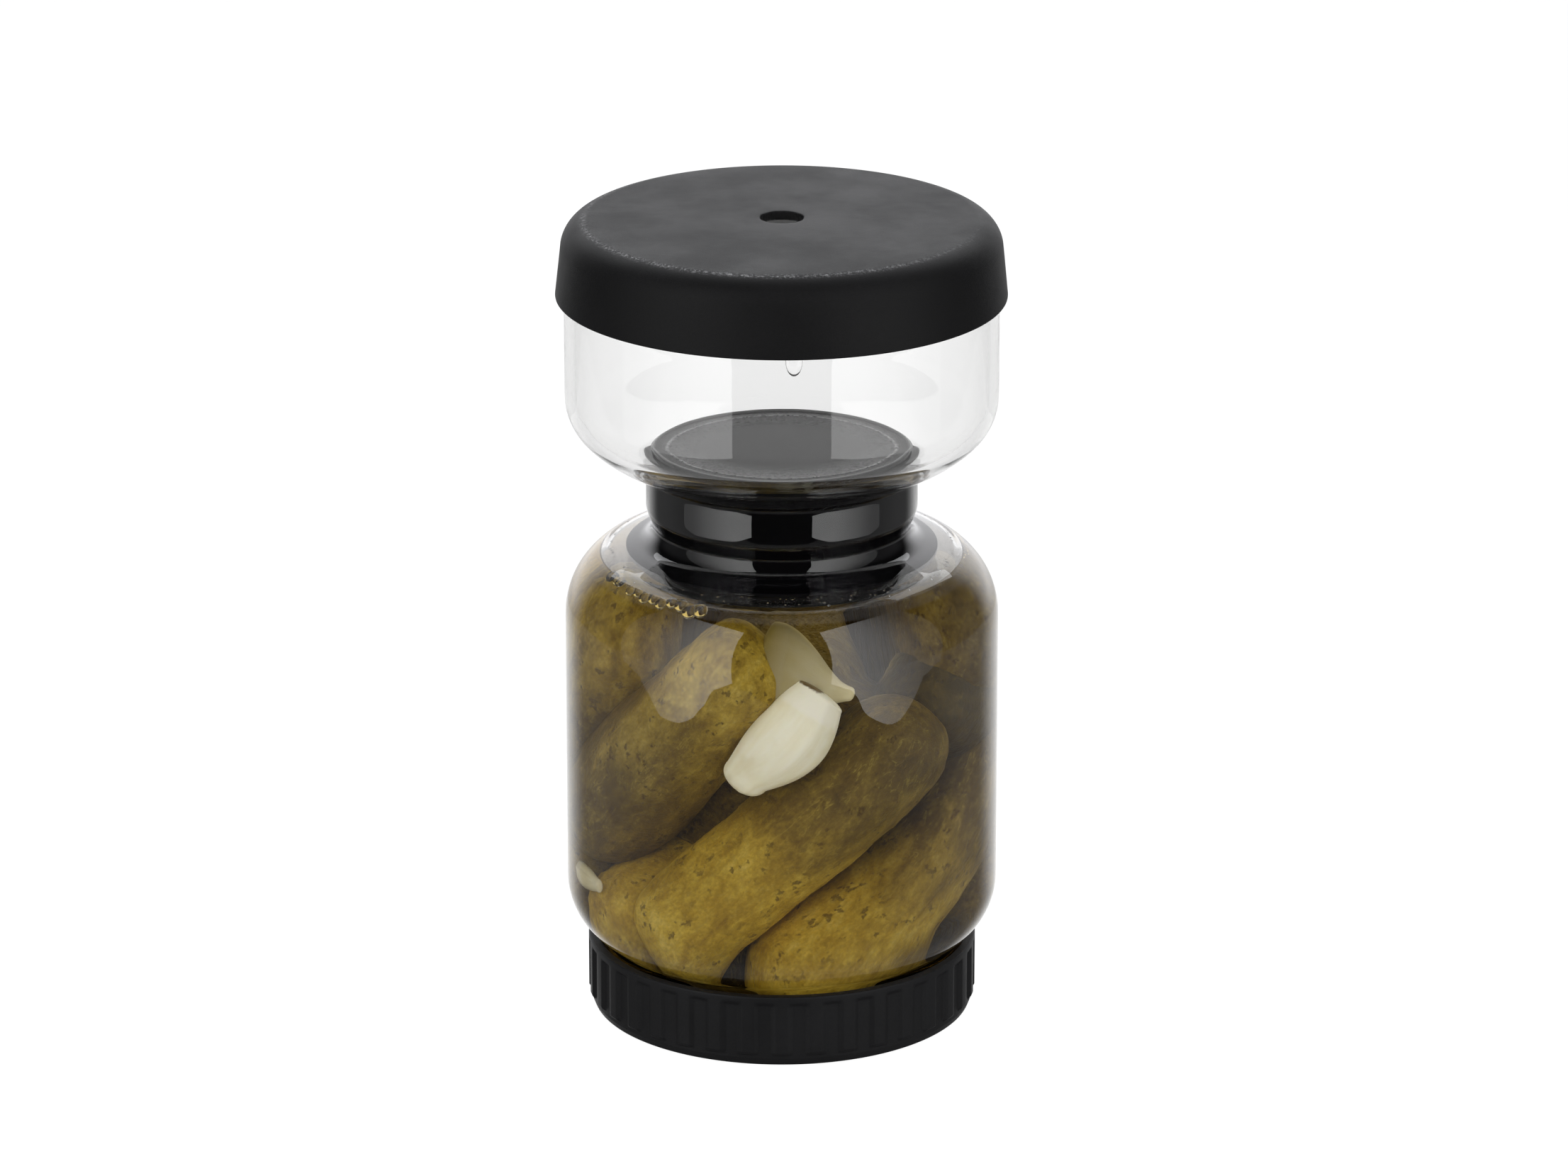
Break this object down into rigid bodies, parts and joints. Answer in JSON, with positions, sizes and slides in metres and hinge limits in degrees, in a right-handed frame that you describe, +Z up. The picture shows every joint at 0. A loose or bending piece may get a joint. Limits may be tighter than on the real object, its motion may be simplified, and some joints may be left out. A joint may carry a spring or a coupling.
{
  "type": "fermentation jar",
  "caption": "Hourglass glass jar of pickled gherkins and garlic, standing on its ribbed screw lid, with a plug in the neck and a soft vented cover on the open bowl above.",
  "frame": {"origin": "on the surface that the jar stands on, under the jar's axis", "axes": "+Z up along the jar's axis, -Y towards the side that the picture shows"},
  "size_m": [0.1034, 0.1034, 0.1896],
  "materials": {
    "glass": "clear, smooth blown glass",
    "plug": "black silicone, satin",
    "cover": "black silicone, matte, with a faint dusty bloom",
    "lid": "black moulded plastic, matte, ribbed",
    "pickles": "olive-brown wet gherkin skin"
  },
  "bodies": {
    "root": {"glass": "glass", "plug": "plug", "cover": "cover", "lid": "lid", "pickles": "pickles"}
  },
  "joints": []
}
